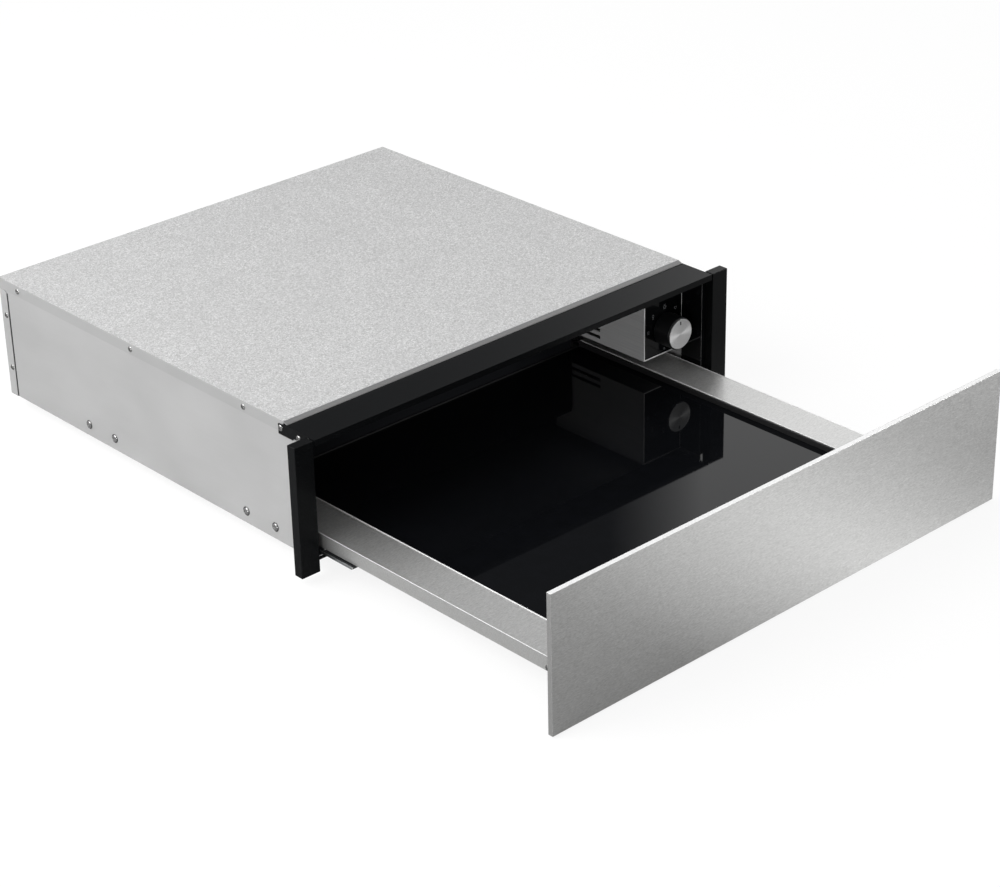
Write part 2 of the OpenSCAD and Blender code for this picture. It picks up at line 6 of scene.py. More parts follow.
import bpy
from mathutils import Matrix, Vector

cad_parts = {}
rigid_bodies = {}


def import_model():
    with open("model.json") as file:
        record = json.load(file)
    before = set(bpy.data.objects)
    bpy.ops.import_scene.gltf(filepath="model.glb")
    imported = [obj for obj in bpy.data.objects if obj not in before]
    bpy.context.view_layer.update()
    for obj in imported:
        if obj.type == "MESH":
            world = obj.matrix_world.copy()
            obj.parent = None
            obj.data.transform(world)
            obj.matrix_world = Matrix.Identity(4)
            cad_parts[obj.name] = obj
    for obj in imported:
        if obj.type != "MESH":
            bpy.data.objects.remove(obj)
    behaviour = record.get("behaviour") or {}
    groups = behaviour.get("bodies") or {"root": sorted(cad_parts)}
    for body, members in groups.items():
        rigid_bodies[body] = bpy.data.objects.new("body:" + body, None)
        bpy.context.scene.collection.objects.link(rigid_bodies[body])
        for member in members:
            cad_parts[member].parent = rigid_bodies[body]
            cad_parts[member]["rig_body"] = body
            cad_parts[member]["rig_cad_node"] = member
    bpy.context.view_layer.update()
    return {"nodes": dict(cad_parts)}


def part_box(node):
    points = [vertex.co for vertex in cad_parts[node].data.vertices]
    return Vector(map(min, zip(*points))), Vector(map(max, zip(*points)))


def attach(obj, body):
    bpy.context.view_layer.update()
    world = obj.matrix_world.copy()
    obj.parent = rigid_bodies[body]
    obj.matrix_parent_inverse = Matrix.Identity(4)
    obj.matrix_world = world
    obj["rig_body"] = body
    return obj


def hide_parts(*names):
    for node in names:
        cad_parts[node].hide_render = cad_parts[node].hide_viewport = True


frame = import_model()

MM = 0.001
ORIGIN = Vector((0, 0, 0))
WHITE = "#FFFFFF"


def at(x, y, z):
    """A point given in millimetres."""
    return Vector((x, y, z)) * MM


# Nodes and materials

def linear(code):
    """An sRGB hex colour as linear RGBA."""
    parts = [int(code[i:i + 2], 16) / 255 for i in (1, 3, 5)]
    return [c / 12.92 if c <= 0.04045 else ((c + 0.055) / 1.055) ** 2.4 for c in parts] + [1.0]


def add(tree, kind, links=None, settings=None, **values):
    """Adds a node: settings are its properties, values its inputs by name, links its inputs by socket."""
    made = tree.nodes.new(kind)
    for name, value in (settings or {}).items():
        setattr(made, name, value)
    for name, value in values.items():
        made.inputs[name.replace("_", " ")].default_value = value
    for name, socket in (links or {}).items():
        tree.links.new(socket, made.inputs[name])
    return made


def start(name, **values):
    """A new material with its Principled shader: returns the material, its tree and the shader."""
    material = bpy.data.materials.new(name)
    material.use_nodes = True
    tree = material.node_tree
    shader = tree.nodes["Principled BSDF"]
    for key, value in values.items():
        shader.inputs[key.replace("_", " ")].default_value = value
    return material, tree, shader


def place(tree, size):
    """Object coordinates scaled so that one unit is size millimetres along each axis."""
    coordinates = add(tree, "ShaderNodeTexCoord")
    scale = [1 / (s * MM) for s in size]
    return add(
        tree, "ShaderNodeMapping", {"Vector": coordinates.outputs["Object"]}, Scale=scale,
    ).outputs["Vector"]


def noise(tree, vector, detail=2.0, rough=0.5, distortion=0.0):
    """Soft noise whose features are one unit of the vector across."""
    return add(
        tree, "ShaderNodeTexNoise", {"Vector": vector},
        Scale=1.0, Detail=detail, Roughness=rough, Distortion=distortion,
    ).outputs["Fac"]


def ramp(tree, factor, stops):
    """A colour ramp whose stops are (position, hex colour)."""
    made = add(tree, "ShaderNodeValToRGB", {"Fac": factor})
    elements = made.color_ramp.elements
    while len(elements) < len(stops):
        elements.new(0.5)
    for element, (position, code) in zip(elements, stops):
        element.position = position
        element.color = linear(code)
    return made.outputs["Color"]


def spread(tree, factor, low, high, start_at=0.0, end_at=1.0):
    """Maps a factor onto low to high."""
    made = add(tree, "ShaderNodeMapRange", {"Value": factor})
    for name, value in (("From Min", start_at), ("From Max", end_at), ("To Min", low), ("To Max", high)):
        made.inputs[name].default_value = value
    return made.outputs["Result"]


def bump(tree, height, distance, strength):
    """A bump of so many millimetres."""
    return add(
        tree, "ShaderNodeBump", {"Height": height}, Distance=distance * MM, Strength=strength
    ).outputs["Normal"]


def mix(tree, factor, first, second):
    """Mixes two colours, each a socket or a hex code."""
    made = add(tree, "ShaderNodeMix", settings={"data_type": "RGBA"})
    for index, value in ((0, factor), (6, first), (7, second)):
        if isinstance(value, str):
            made.inputs[index].default_value = linear(value)
        elif isinstance(value, (int, float)):
            made.inputs[index].default_value = value
        else:
            tree.links.new(value, made.inputs[index])
    return made.outputs[2]


def product(tree, factors):
    """Several factors multiplied together."""
    result = factors[0]
    for factor in factors[1:]:
        result = add(tree, "ShaderNodeMath", {0: result, 1: factor}, {"operation": "MULTIPLY"}).outputs[0]
    return result


def spangled_galvanised():
    """Hot-dip galvanised cover sheet: small zinc crystals, each with its own grey, give a speckled top."""
    material, tree, shader = start("spangled_galvanised_sheet", Metallic=0.35)
    cells = add(
        tree, "ShaderNodeTexVoronoi", {"Vector": place(tree, (1.15, 1.15, 1.15))},
        Scale=1.0, Randomness=1.0,
    )
    shade = add(tree, "ShaderNodeSeparateColor", {"Color": cells.outputs["Color"]}).outputs["Red"]
    fine = noise(tree, place(tree, (0.8, 0.8, 0.8)), 3.0)
    cloud = noise(tree, place(tree, (60, 60, 60)), 2.0)
    crystal = ramp(tree, shade, [(0.0, "#A6A6A6"), (0.3, "#C2C2C2"), (0.75, "#D3D3D3"), (1.0, "#EBEBEB")])
    grain = mix(tree, spread(tree, fine, 0.0, 0.4, 0.35, 0.75), crystal, "#D2D2D2")
    colour = mix(tree, spread(tree, cloud, 0.0, 0.22, 0.3, 0.8), grain, "#BABABA")
    tree.links.new(colour, shader.inputs["Base Color"])
    tree.links.new(spread(tree, shade, 0.5, 0.64), shader.inputs["Roughness"])
    tree.links.new(bump(tree, shade, 0.03, 0.35), shader.inputs["Normal"])
    return material


def smooth_galvanised(name, dark, light):
    """Skin-passed galvanised sheet: even light grey, with soft clouds and a trace of rolling."""
    material, tree, shader = start(name, Metallic=0.45)
    roll = noise(tree, place(tree, (140, 140, 2.5)), 3.0, 0.5)
    cloud = noise(tree, place(tree, (110, 110, 60)), 2.0)
    colour = ramp(tree, cloud, [(0.3, dark), (0.7, light)])
    tree.links.new(mix(tree, spread(tree, roll, 0.0, 0.16), colour, "#A4A4A4"), shader.inputs["Base Color"])
    tree.links.new(spread(tree, cloud, 0.4, 0.48), shader.inputs["Roughness"])
    tree.links.new(bump(tree, roll, 0.004, 0.15), shader.inputs["Normal"])
    return material


def painted_edge_highlight_finish():
    """Near-white, slightly metallic finish with faint lines for sheet edges: a painted highlight that makes
    the edges read as white.
    """
    material, tree, shader = start("edge_with_painted_highlight", Metallic=0.15)
    lines = noise(tree, place(tree, (1.5, 1.5, 0.4)), 2.0)
    tree.links.new(ramp(tree, lines, [(0.3, "#E6E6E6"), (0.7, "#F2F2F2")]), shader.inputs["Base Color"])
    tree.links.new(spread(tree, lines, 0.3, 0.45), shader.inputs["Roughness"])
    tree.links.new(bump(tree, lines, 0.004, 0.1), shader.inputs["Normal"])
    return material


def brushed_stainless(name, light, dark, rough, metal, across):
    """Brushed stainless steel: short scratches along X, and highlights drawn out along one direction."""
    material, tree, shader = start(name, Metallic=metal, Anisotropic=0.6)
    tangent = add(
        tree, "ShaderNodeVectorTransform",
        settings={"vector_type": "VECTOR", "convert_from": "OBJECT", "convert_to": "WORLD"},
        Vector=across,
    )
    tree.links.new(tangent.outputs["Vector"], shader.inputs["Tangent"])
    fine = noise(tree, place(tree, (12, 0.38, 0.38)), 4.0, 0.7)
    short = noise(tree, place(tree, (3.2, 0.65, 0.65)), 4.0, 0.65)
    both = mix(tree, 0.6, fine, short)
    tree.links.new(ramp(tree, both, [(0.3, dark), (0.7, light)]), shader.inputs["Base Color"])
    tree.links.new(spread(tree, both, rough - 0.05, rough + 0.1, 0.3, 0.7), shader.inputs["Roughness"])
    tree.links.new(bump(tree, both, 0.02, 0.35), shader.inputs["Normal"])
    return material


def satin_black(name="satin_black_powder_coat", colour="#0A0B0C", lighter="#0F1011", rough=0.27):
    """Black powder coat: a fine even orange peel that softens its highlights."""
    material, tree, shader = start(name, Roughness=rough, Specular_IOR_Level=0.1)
    peel = noise(tree, place(tree, (0.9, 0.9, 0.9)), 2.0)
    tree.links.new(ramp(tree, peel, [(0.35, colour), (0.7, lighter)]), shader.inputs["Base Color"])
    tree.links.new(bump(tree, peel, 0.02, 0.25), shader.inputs["Normal"])
    return material


def gloss_black(name, colour="#08090A", rough=0.06, shine=0.5):
    """Gloss black enamel: nearly a mirror, with the slightest waviness."""
    material, tree, shader = start(name, Specular_IOR_Level=shine)
    wave = noise(tree, place(tree, (35, 35, 35)), 1.0)
    tree.links.new(ramp(tree, wave, [(0.3, colour), (0.7, "#0D0E10")]), shader.inputs["Base Color"])
    tree.links.new(spread(tree, wave, rough * 0.8, rough * 1.3), shader.inputs["Roughness"])
    tree.links.new(bump(tree, wave, 0.01, 0.1), shader.inputs["Normal"])
    return material


def black_glass():
    """Toughened black glass ceramic: a deep mirror with a trace of dust in its gloss."""
    material, tree, shader = start("black_toughened_glass", Specular_IOR_Level=0.1)
    dust = noise(tree, place(tree, (18, 18, 18)), 5.0, 0.7)
    tree.links.new(ramp(tree, dust, [(0.4, "#0B0C0E"), (0.8, "#0E0F12")]), shader.inputs["Base Color"])
    tree.links.new(spread(tree, dust, 0.015, 0.05), shader.inputs["Roughness"])
    return material


def bright_stainless():
    """Bright-rolled stainless sheet of the heater box: a soft mirror with a faint rolling direction."""
    material, tree, shader = start("bright_rolled_stainless", Metallic=0.1)
    roll = noise(tree, place(tree, (1.0, 60, 1.0)), 3.0)
    tree.links.new(ramp(tree, roll, [(0.3, "#BCBDBE"), (0.7, "#CCCCCC")]), shader.inputs["Base Color"])
    tree.links.new(spread(tree, roll, 0.32, 0.42), shader.inputs["Roughness"])
    tree.links.new(bump(tree, roll, 0.006, 0.2), shader.inputs["Normal"])
    return material


def spun_aluminium(centre):
    """Diamond-turned aluminium knob face: concentric tool marks that make the light fan out."""
    material, tree, shader = start("spun_aluminium", Metallic=1.0, Anisotropic=0.7)
    coordinates = add(tree, "ShaderNodeTexCoord")
    moved = add(
        tree, "ShaderNodeMapping", {"Vector": coordinates.outputs["Object"]},
        Location=(-centre.x, -centre.y, -centre.z),
    ).outputs["Vector"]
    turned = add(tree, "ShaderNodeMapping", {"Vector": moved}, Scale=(1 / MM, 0.001, 1 / MM))
    distance = add(
        tree, "ShaderNodeVectorMath", {"Vector": turned.outputs["Vector"]},
        {"operation": "LENGTH"},
    ).outputs["Value"]
    ring = add(tree, "ShaderNodeTexNoise", {"W": distance}, {"noise_dimensions": "1D"},
               Scale=3.0, Detail=2.0).outputs["Fac"]
    tangent = add(tree, "ShaderNodeTangent", settings={"direction_type": "RADIAL", "axis": "Y"})
    tree.links.new(ramp(tree, ring, [(0.3, "#CACACA"), (0.7, "#E4E4E4")]), shader.inputs["Base Color"])
    tree.links.new(spread(tree, ring, 0.26, 0.4), shader.inputs["Roughness"])
    tree.links.new(bump(tree, ring, 0.01, 0.3), shader.inputs["Normal"])
    tree.links.new(tangent.outputs["Tangent"], shader.inputs["Tangent"])
    return material


def moulded(name, colour, lighter, rough=0.5, grain=0.6, depth=0.02):
    """Moulded plastic or rubber with a fine spark-eroded texture."""
    material, tree, shader = start(name)
    texture = noise(tree, place(tree, (grain, grain, grain)), 3.0)
    tree.links.new(ramp(tree, texture, [(0.35, colour), (0.7, lighter)]), shader.inputs["Base Color"])
    tree.links.new(spread(tree, texture, rough - 0.06, rough + 0.08), shader.inputs["Roughness"])
    tree.links.new(bump(tree, texture, depth, 0.3), shader.inputs["Normal"])
    return material


def plated(name, colour, lighter, rough=0.25, size=3.0):
    """Plated or annealed metal: even tone with slight clouding."""
    material, tree, shader = start(name, Metallic=1.0)
    cloud = noise(tree, place(tree, (size, size, size)), 4.0)
    tree.links.new(ramp(tree, cloud, [(0.3, colour), (0.7, lighter)]), shader.inputs["Base Color"])
    tree.links.new(spread(tree, cloud, rough - 0.06, rough + 0.1), shader.inputs["Roughness"])
    tree.links.new(bump(tree, cloud, 0.01, 0.15), shader.inputs["Normal"])
    return material


def fibre_board():
    """Pressed fibre board core: short crossed fibres in two browns."""
    material, tree, shader = start("pressed_fibre_board", Roughness=0.85)
    fibres = noise(tree, place(tree, (4, 4, 0.5)), 5.0, 0.7, 1.5)
    tree.links.new(ramp(tree, fibres, [(0.3, "#9C8057"), (0.7, "#BFA57A")]), shader.inputs["Base Color"])
    tree.links.new(bump(tree, fibres, 0.1, 0.4), shader.inputs["Normal"])
    return material


KNOB_LOW, KNOB_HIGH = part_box("knob_disc")
KNOB = (KNOB_LOW + KNOB_HIGH) / 2
SPANGLE = spangled_galvanised()
GALVANISED = smooth_galvanised("smooth_galvanised_sheet", "#B2B2B2", "#BCBCBC")
FOLDED = smooth_galvanised("galvanised_sheet_at_its_flanges", "#AAAAAA", "#B4B4B4")
# A much darker copy of the galvanised sheet: painted shade on the cover's step and along the back of the
# front panel's top edge
STEP_PAINTED_SHADE = smooth_galvanised("galvanised_sheet_with_painted_shade_at_its_step", "#6E6E6E", "#7A7A7A")
# Near-white edge finish: painted highlights on sheet edges, rail folds and runner lips
PAINTED_EDGE_HIGHLIGHT = painted_edge_highlight_finish()
STEEL = brushed_stainless("brushed_stainless_front", "#E2E2E1", "#AAAAA9", 0.34, 1.0, (0, 0, 1))
RAIL_STEEL = brushed_stainless("brushed_stainless_rails", "#E4E4E3", "#A8A8A7", 0.32, 0.75, (0, 1, 0))
SATIN = satin_black()
WALL_BLACK = satin_black("satin_black_enamel_wall", "#1B1C1F", "#222326", 0.3)
GLOSS = gloss_black("gloss_black_enamel")
FASCIA = gloss_black("gloss_black_fascia", "#060708", 0.05, 0.14)
GLASS = black_glass()
BRIGHT = bright_stainless()
SPUN = spun_aluminium(KNOB)
KNOB_PLASTIC = moulded("matt_black_phenolic_knob", "#0C0D0E", "#141517", 0.38, 0.5)
RUBBER = moulded("black_silicone_rubber", "#0C0C0D", "#161617", 0.6, 0.7)
PLASTIC = moulded("black_glass_filled_nylon", "#151618", "#1F2023", 0.5, 0.6)
NYLON = moulded("natural_acetal", "#DEDDD8", "#EDECE8", 0.35, 1.0, 0.01)
RED = moulded("red_moulded_button", "#8E1B16", "#A5241D", 0.35, 1.0, 0.01)
CERAMIC = moulded("glazed_steatite_ceramic", "#DCD6C6", "#E8E3D6", 0.3, 1.5, 0.01)
SCREW_METAL = plated("nickel_plated_steel", "#9A9A99", "#B4B4B3", 0.2, 1.5)
RIVET_METAL = plated("polished_steel_rivet", "#A6A6A6", "#C2C2C2", 0.12, 1.5)
RUNNER_ZINC = plated("zinc_plated_steel", "#9EA1A3", "#B9BBBC", 0.28, 4.0)
MOTOR_METAL = plated("plated_motor_steel", "#8C8E90", "#A4A6A8", 0.35, 4.0)
HEATER_METAL = plated("annealed_heater_sheath", "#4C443D", "#685D53", 0.42, 6.0)
BRASS = plated("turned_brass", "#A68B4A", "#C3A869", 0.25, 2.0)
BOARD = fibre_board()
PRINT = moulded("grey_screen_print", "#6C6E70", "#7E8082", 0.5, 0.8, 0.005)

FINISH = {
    "top_cover": SPANGLE, "left_side_panel": GALVANISED, "right_side_panel": GALVANISED,
    "rear_panel": GALVANISED, "base_pan": GALVANISED, "front_header": SATIN, "left_post": SATIN,
    "right_post": SATIN, "left_post_bracket": GLOSS, "right_post_bracket": GLOSS,
    "front_sill": SATIN, "control_box": BRIGHT, "control_fascia": FASCIA,
    "thermostat": PLASTIC, "fan_motor": MOTOR_METAL, "fan_housing": MOTOR_METAL,
    "fan_impeller": PLASTIC, "heater_element": HEATER_METAL, "thermal_cutout": MOTOR_METAL,
    "terminal_block": CERAMIC, "wire_conduit": PLASTIC, "mains_gland": PLASTIC,
    "left_runner_outer": RUNNER_ZINC, "right_runner_outer": RUNNER_ZINC,
    "left_runner_middle": RUNNER_ZINC, "right_runner_middle": RUNNER_ZINC,
    "left_runner_glides": NYLON, "right_runner_glides": NYLON,
    "left_runner_inner": RUNNER_ZINC, "right_runner_inner": RUNNER_ZINC,
    "latch_housing": PLASTIC, "latch_plunger": NYLON, "switch_housing": PLASTIC,
    "switch_button": RED, "front_left_foot": RUBBER, "front_right_foot": RUBBER,
    "rear_left_foot": RUBBER, "rear_right_foot": RUBBER, "casing_screws": SCREW_METAL,
    "runner_rivets": SCREW_METAL, "front_panel": STEEL, "panel_core": BOARD,
    "panel_back_plate": SATIN, "panel_buffers": RUBBER, "front_crossmember": GALVANISED,
    "left_drawer_rail": RAIL_STEEL, "right_drawer_rail": RAIL_STEEL, "drawer_tray": GALVANISED,
    "drawer_rear_wall": WALL_BLACK, "glass_floor": GLASS, "glass_gasket": RUBBER,
    "glass_pads": RUBBER, "left_front_bracket": GALVANISED, "right_front_bracket": GALVANISED,
    "drawer_screws": SCREW_METAL, "knob_body": KNOB_PLASTIC, "knob_disc": SPUN,
    "knob_pointer": PLASTIC, "thermostat_shaft": BRASS,
}


def finish_of(obj, material):
    """Gives an object one material."""
    obj.data.materials.clear()
    obj.data.materials.append(material)


for node, material in FINISH.items():
    finish_of(frame["nodes"][node], material)


# Modelling helpers, with lengths in millimetres

# Points closer than this are one point
WELD = 0.002
# Faces within this many degrees are one flat face
FLAT_ANGLE = 0.5
# Edges sharper than this many degrees stay sharp in the shading
SHARP_ANGLE = 35

def alone(obj):
    """Makes obj the only selected and active object."""
    if bpy.context.mode != "OBJECT":
        bpy.ops.object.mode_set(mode="OBJECT")
    bpy.ops.object.select_all(action="DESELECT")
    obj.select_set(True)
    bpy.context.view_layer.objects.active = obj
    return obj


def modify(obj, kind, **settings):
    """Adds a modifier and applies it."""
    alone(obj)
    made = obj.modifiers.new(kind.lower(), kind)
    for name, value in settings.items():
        setattr(made, name, value)
    bpy.ops.object.modifier_apply(modifier=made.name)


def edged(obj, width, segments=2, angle=30):
    """Rounds the sharp edges by width millimetres and keeps the flat faces flat in their shading."""
    modify(
        obj, "BEVEL", width=width * MM, segments=segments, limit_method="ANGLE",
        angle_limit=math.radians(angle), harden_normals=False, use_clamp_overlap=True,
    )
    alone(obj)
    bpy.ops.object.shade_smooth_by_angle(angle=math.radians(SHARP_ANGLE))
    modify(obj, "WEIGHTED_NORMAL", mode="FACE_AREA", weight=50, keep_sharp=True)


def dressed(node, width, segments):
    """A copy of a CAD node with its real, slightly rounded edges, which stands for the node."""
    source = frame["nodes"][node]
    piece = source.copy()
    piece.data = source.data.copy()
    piece.name = node + "_formed"
    piece.parent = None
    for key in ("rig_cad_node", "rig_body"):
        if key in piece:
            del piece[key]
    bpy.context.scene.collection.objects.link(piece)
    alone(piece)
    bpy.ops.object.mode_set(mode="EDIT")
    bpy.ops.mesh.select_all(action="SELECT")
    bpy.ops.mesh.remove_doubles(threshold=WELD * MM)
    bpy.ops.mesh.dissolve_limited(angle_limit=math.radians(FLAT_ANGLE))
    bpy.ops.object.mode_set(mode="OBJECT")
    edged(piece, width, segments)
    finish_of(piece, FINISH[node])
    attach(piece, source["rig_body"])
    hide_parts(node)
    return piece


# The rounding of each formed node's edges
DRESSED = {
    "top_cover": 0.6, "left_side_panel": 0.15, "right_side_panel": 0.15, "rear_panel": 0.25,
    "base_pan": 0.2, "front_header": 0.6, "left_post": 1.8, "right_post": 1.8,
    "left_post_bracket": 0.3, "right_post_bracket": 0.3, "front_sill": 0.3, "control_box": 0.5,
    "control_fascia": 0.3, "front_panel": 0.45, "panel_back_plate": 0.3,
    "left_drawer_rail": 1.0, "right_drawer_rail": 1.0, "drawer_rear_wall": 0.3,
    "glass_floor": 0.5, "glass_gasket": 0.4, "drawer_tray": 0.2, "front_crossmember": 0.3,
    "left_runner_middle": 0.25, "right_runner_middle": 0.25, "left_runner_outer": 0.2,
    "right_runner_outer": 0.2, "left_runner_inner": 0.2, "right_runner_inner": 0.2,
    "left_front_bracket": 0.3, "right_front_bracket": 0.3, "latch_housing": 1.0,
    "switch_housing": 0.8, "terminal_block": 0.8, "thermostat": 0.8, "panel_buffers": 0.6,
    "mains_gland": 0.6, "fan_motor": 0.6, "fan_housing": 0.3, "fan_impeller": 0.25,
    "heater_element": 0.2, "thermal_cutout": 0.3, "wire_conduit": 0.2, "front_left_foot": 1.0,
    "front_right_foot": 1.0, "rear_left_foot": 1.0, "rear_right_foot": 1.0, "panel_core": 0.2,
    "glass_pads": 0.3, "latch_plunger": 0.4, "switch_button": 0.4, "thermostat_shaft": 0.2,
    "left_runner_glides": 0.2, "right_runner_glides": 0.2,
}
# Nodes whose rounding shows enough to need more than two segments
ROUNDED = {
    "left_post": 4, "right_post": 4, "front_header": 3,
    "left_drawer_rail": 3, "right_drawer_rail": 3,
}
PIECES = {node: dressed(node, width, ROUNDED.get(node, 2)) for node, width in DRESSED.items()}


def pick(obj, test):
    """Selects the vertices that pass the test, and leaves obj in edit mode."""
    alone(obj)
    bpy.ops.object.mode_set(mode="EDIT")
    bpy.ops.mesh.select_mode(type="VERT")
    bpy.ops.mesh.select_all(action="DESELECT")
    bpy.ops.object.mode_set(mode="OBJECT")
    for vertex in obj.data.vertices:
        vertex.select = test(vertex.co)
    bpy.ops.object.mode_set(mode="EDIT")


def settle(obj):
    """Moves an object's place, turn and scale into its mesh."""
    alone(obj)
    bpy.ops.object.transform_apply(location=True, rotation=True, scale=True)


def joined(objects, name):
    """Joins objects into the first, with its origin at zero."""
    alone(objects[0])
    for obj in objects[1:]:
        obj.select_set(True)
    if len(objects) > 1:
        bpy.ops.object.join()
    made = bpy.context.object
    made.name = name
    settle(made)
    return made


def cylinder(radius, depth, middle=(0, 0, 0), turn=(0, 0, 0), vertices=64):
    """A round bar along Z, turned after that."""
    bpy.ops.mesh.primitive_cylinder_add(
        vertices=vertices, radius=radius * MM, depth=depth * MM,
        location=at(*middle), rotation=turn,
    )
    made = bpy.context.object
    settle(made)
    return made


def block(size, middle=(0, 0, 0), turn=(0, 0, 0)):
    """A rectangular block."""
    bpy.ops.mesh.primitive_cube_add(size=1, location=at(*middle), rotation=turn)
    made = bpy.context.object
    made.scale = at(*size)
    settle(made)
    return made


def cut(obj, cutter):
    """Cuts one solid out of another."""
    modify(obj, "BOOLEAN", operation="DIFFERENCE", solver="EXACT", object=cutter)
    bpy.data.objects.remove(cutter)


def solids_of(node):
    """The box of each separate solid in a CAD node, in millimetres, measured on a throwaway copy."""
    source = frame["nodes"][node]
    probe = source.copy()
    probe.data = source.data.copy()
    probe.parent = None
    bpy.context.scene.collection.objects.link(probe)
    alone(probe)
    bpy.ops.object.mode_set(mode="EDIT")
    bpy.ops.mesh.select_all(action="SELECT")
    bpy.ops.mesh.remove_doubles(threshold=WELD * MM)
    bpy.ops.mesh.separate(type="LOOSE")
    bpy.ops.object.mode_set(mode="OBJECT")
    boxes = []
    for part in list(bpy.context.selected_objects):
        points = [part.matrix_world @ vertex.co / MM for vertex in part.data.vertices]
        low = Vector([min(point[i] for point in points) for i in range(3)])
        high = Vector([max(point[i] for point in points) for i in range(3)])
        boxes.append((low, high))
        bpy.data.objects.remove(part)
    return boxes


def paint_faces(piece, material, test):
    """Gives a second finish to the faces of a piece whose normal and middle pass the test."""
    piece.data.materials.append(material)
    index = len(piece.data.materials) - 1
    for face in piece.data.polygons:
        if test(face.normal, face.center / MM):
            face.material_index = index


# Below this height the cover is flange, and in front of this place its top is the step
FLANGE_TOP, STEP_BACK = 146.5, -40
# The brackets' front edges that carry a painted highlight lie nearer the middle than this
BRACKET_EDGE = 261

paint_faces(
    PIECES["top_cover"], FOLDED,
    lambda normal, middle: normal.z < 0.9 and middle.z < FLANGE_TOP,
)
# Painted shade: the cover's step in front of the header gets the darker copy of its sheet
paint_faces(
    PIECES["top_cover"], STEP_PAINTED_SHADE,
    lambda normal, middle: -0.8 < normal.y < -0.2 and normal.z > 0.5 and middle.y < STEP_BACK,
)
# Painted highlights: near-white on the front-facing edges of the control box, the side sheets and the
# brackets
paint_faces(PIECES["control_box"], PAINTED_EDGE_HIGHLIGHT, lambda normal, middle: normal.y < -0.6)
for node in ("left_side_panel", "right_side_panel"):
    paint_faces(PIECES[node], PAINTED_EDGE_HIGHLIGHT, lambda normal, middle: normal.y < -0.6)
for node in ("left_post_bracket", "right_post_bracket"):
    paint_faces(
        PIECES[node], PAINTED_EDGE_HIGHLIGHT,
        lambda normal, middle: normal.y < -0.6 and abs(middle.x) < BRACKET_EDGE,
    )
# Painted highlight: the top of the front panel is near-white
paint_faces(PIECES["front_panel"], PAINTED_EDGE_HIGHLIGHT, lambda normal, middle: normal.z > 0.5)
# Painted shade: a dark grey line along the back of the front panel's top edge
paint_faces(PIECES["front_panel"], STEP_PAINTED_SHADE, lambda normal, middle: normal.z > 0.2 and normal.y > 0.2)


HEAD_R, HEAD_H, SHANK_R = 3.2, 1.4, 1.9
RIDGE_R, RIDGE_PITCH = 0.16, 0.8
RECESS_LONG, RECESS_WIDE, RECESS_DEEP = 3.6, 0.8, 1.8
SCREW_L, RIVET_L = 4.0, 1.7
RIVET_R, RIVET_H, MANDREL_R = 4.1, 1.9, 1.3
# Size of the dark ring of painted shadow round each rivet head
SHADOW_RING_R, SHADOW_RING_T = 4.25, 0.42
# Each screw stands this many degrees further round than the one before it
SPIN_STEP = 17


def dome_head(radius=HEAD_R, height=HEAD_H):
    """The upper half of a ball, flattened to a low round head."""
    bpy.ops.mesh.primitive_uv_sphere_add(segments=48, ring_count=24, radius=radius * MM)
    head = bpy.context.object
    pick(head, lambda co: co.z < -0.01 * MM)
    bpy.ops.mesh.delete(type="VERT")
    bpy.ops.object.mode_set(mode="OBJECT")
    pick(head, lambda co: co.z < 0.01 * MM)
    bpy.ops.mesh.edge_face_add()
    bpy.ops.mesh.select_all(action="SELECT")
    bpy.ops.transform.resize(
        value=(1, 1, height / radius), center_override=ORIGIN,
    )
    bpy.ops.object.mode_set(mode="OBJECT")
    return head


def threaded_shank(length):
    """The parts of a shank below its head: a blunt bar and its rolled ridges."""
    shank = cylinder(SHANK_R - 0.12, length, (0, 0, -length / 2), vertices=32)
    edged(shank, 0.35)
    parts = [shank]
    height = -0.7
    while height > -length + 0.6:
        bpy.ops.mesh.primitive_torus_add(
            major_radius=(SHANK_R - RIDGE_R) * MM, minor_radius=RIDGE_R * MM,
            major_segments=32, minor_segments=6, location=at(0, 0, height),
        )
        parts.append(bpy.context.object)
        height -= RIDGE_PITCH
    return parts


def cross_screw(length):
    """A low domed screw with a cross recess, its seat at the origin and its head up."""
    head = dome_head()
    arms = [
        block((RECESS_WIDE, RECESS_LONG, RECESS_DEEP), (0, 0, HEAD_H)),
        block((RECESS_LONG, RECESS_WIDE, RECESS_DEEP), (0, 0, HEAD_H)),
    ]
    for arm in arms:
        cut(head, arm)
    edged(head, 0.08, 1)
    return joined([head] + threaded_shank(length), "screw_pattern")


def dimpled_rivet(length):
    """A blind rivet: a low dome with the drawn-in hole of its mandrel."""
    head = dome_head(RIVET_R, RIVET_H)
    cut(head, cylinder(MANDREL_R, 1.3, (0, 0, RIVET_H), vertices=32))
    edged(head, 0.2, 2)
    stub = cylinder(0.95, 1.2, (0, 0, 0.75), vertices=24)
    edged(stub, 0.2)
    shank = cylinder(SHANK_R, length, (0, 0, -length / 2), vertices=32)
    edged(shank, 0.3)
    return joined([head, stub, shank], "rivet_pattern")


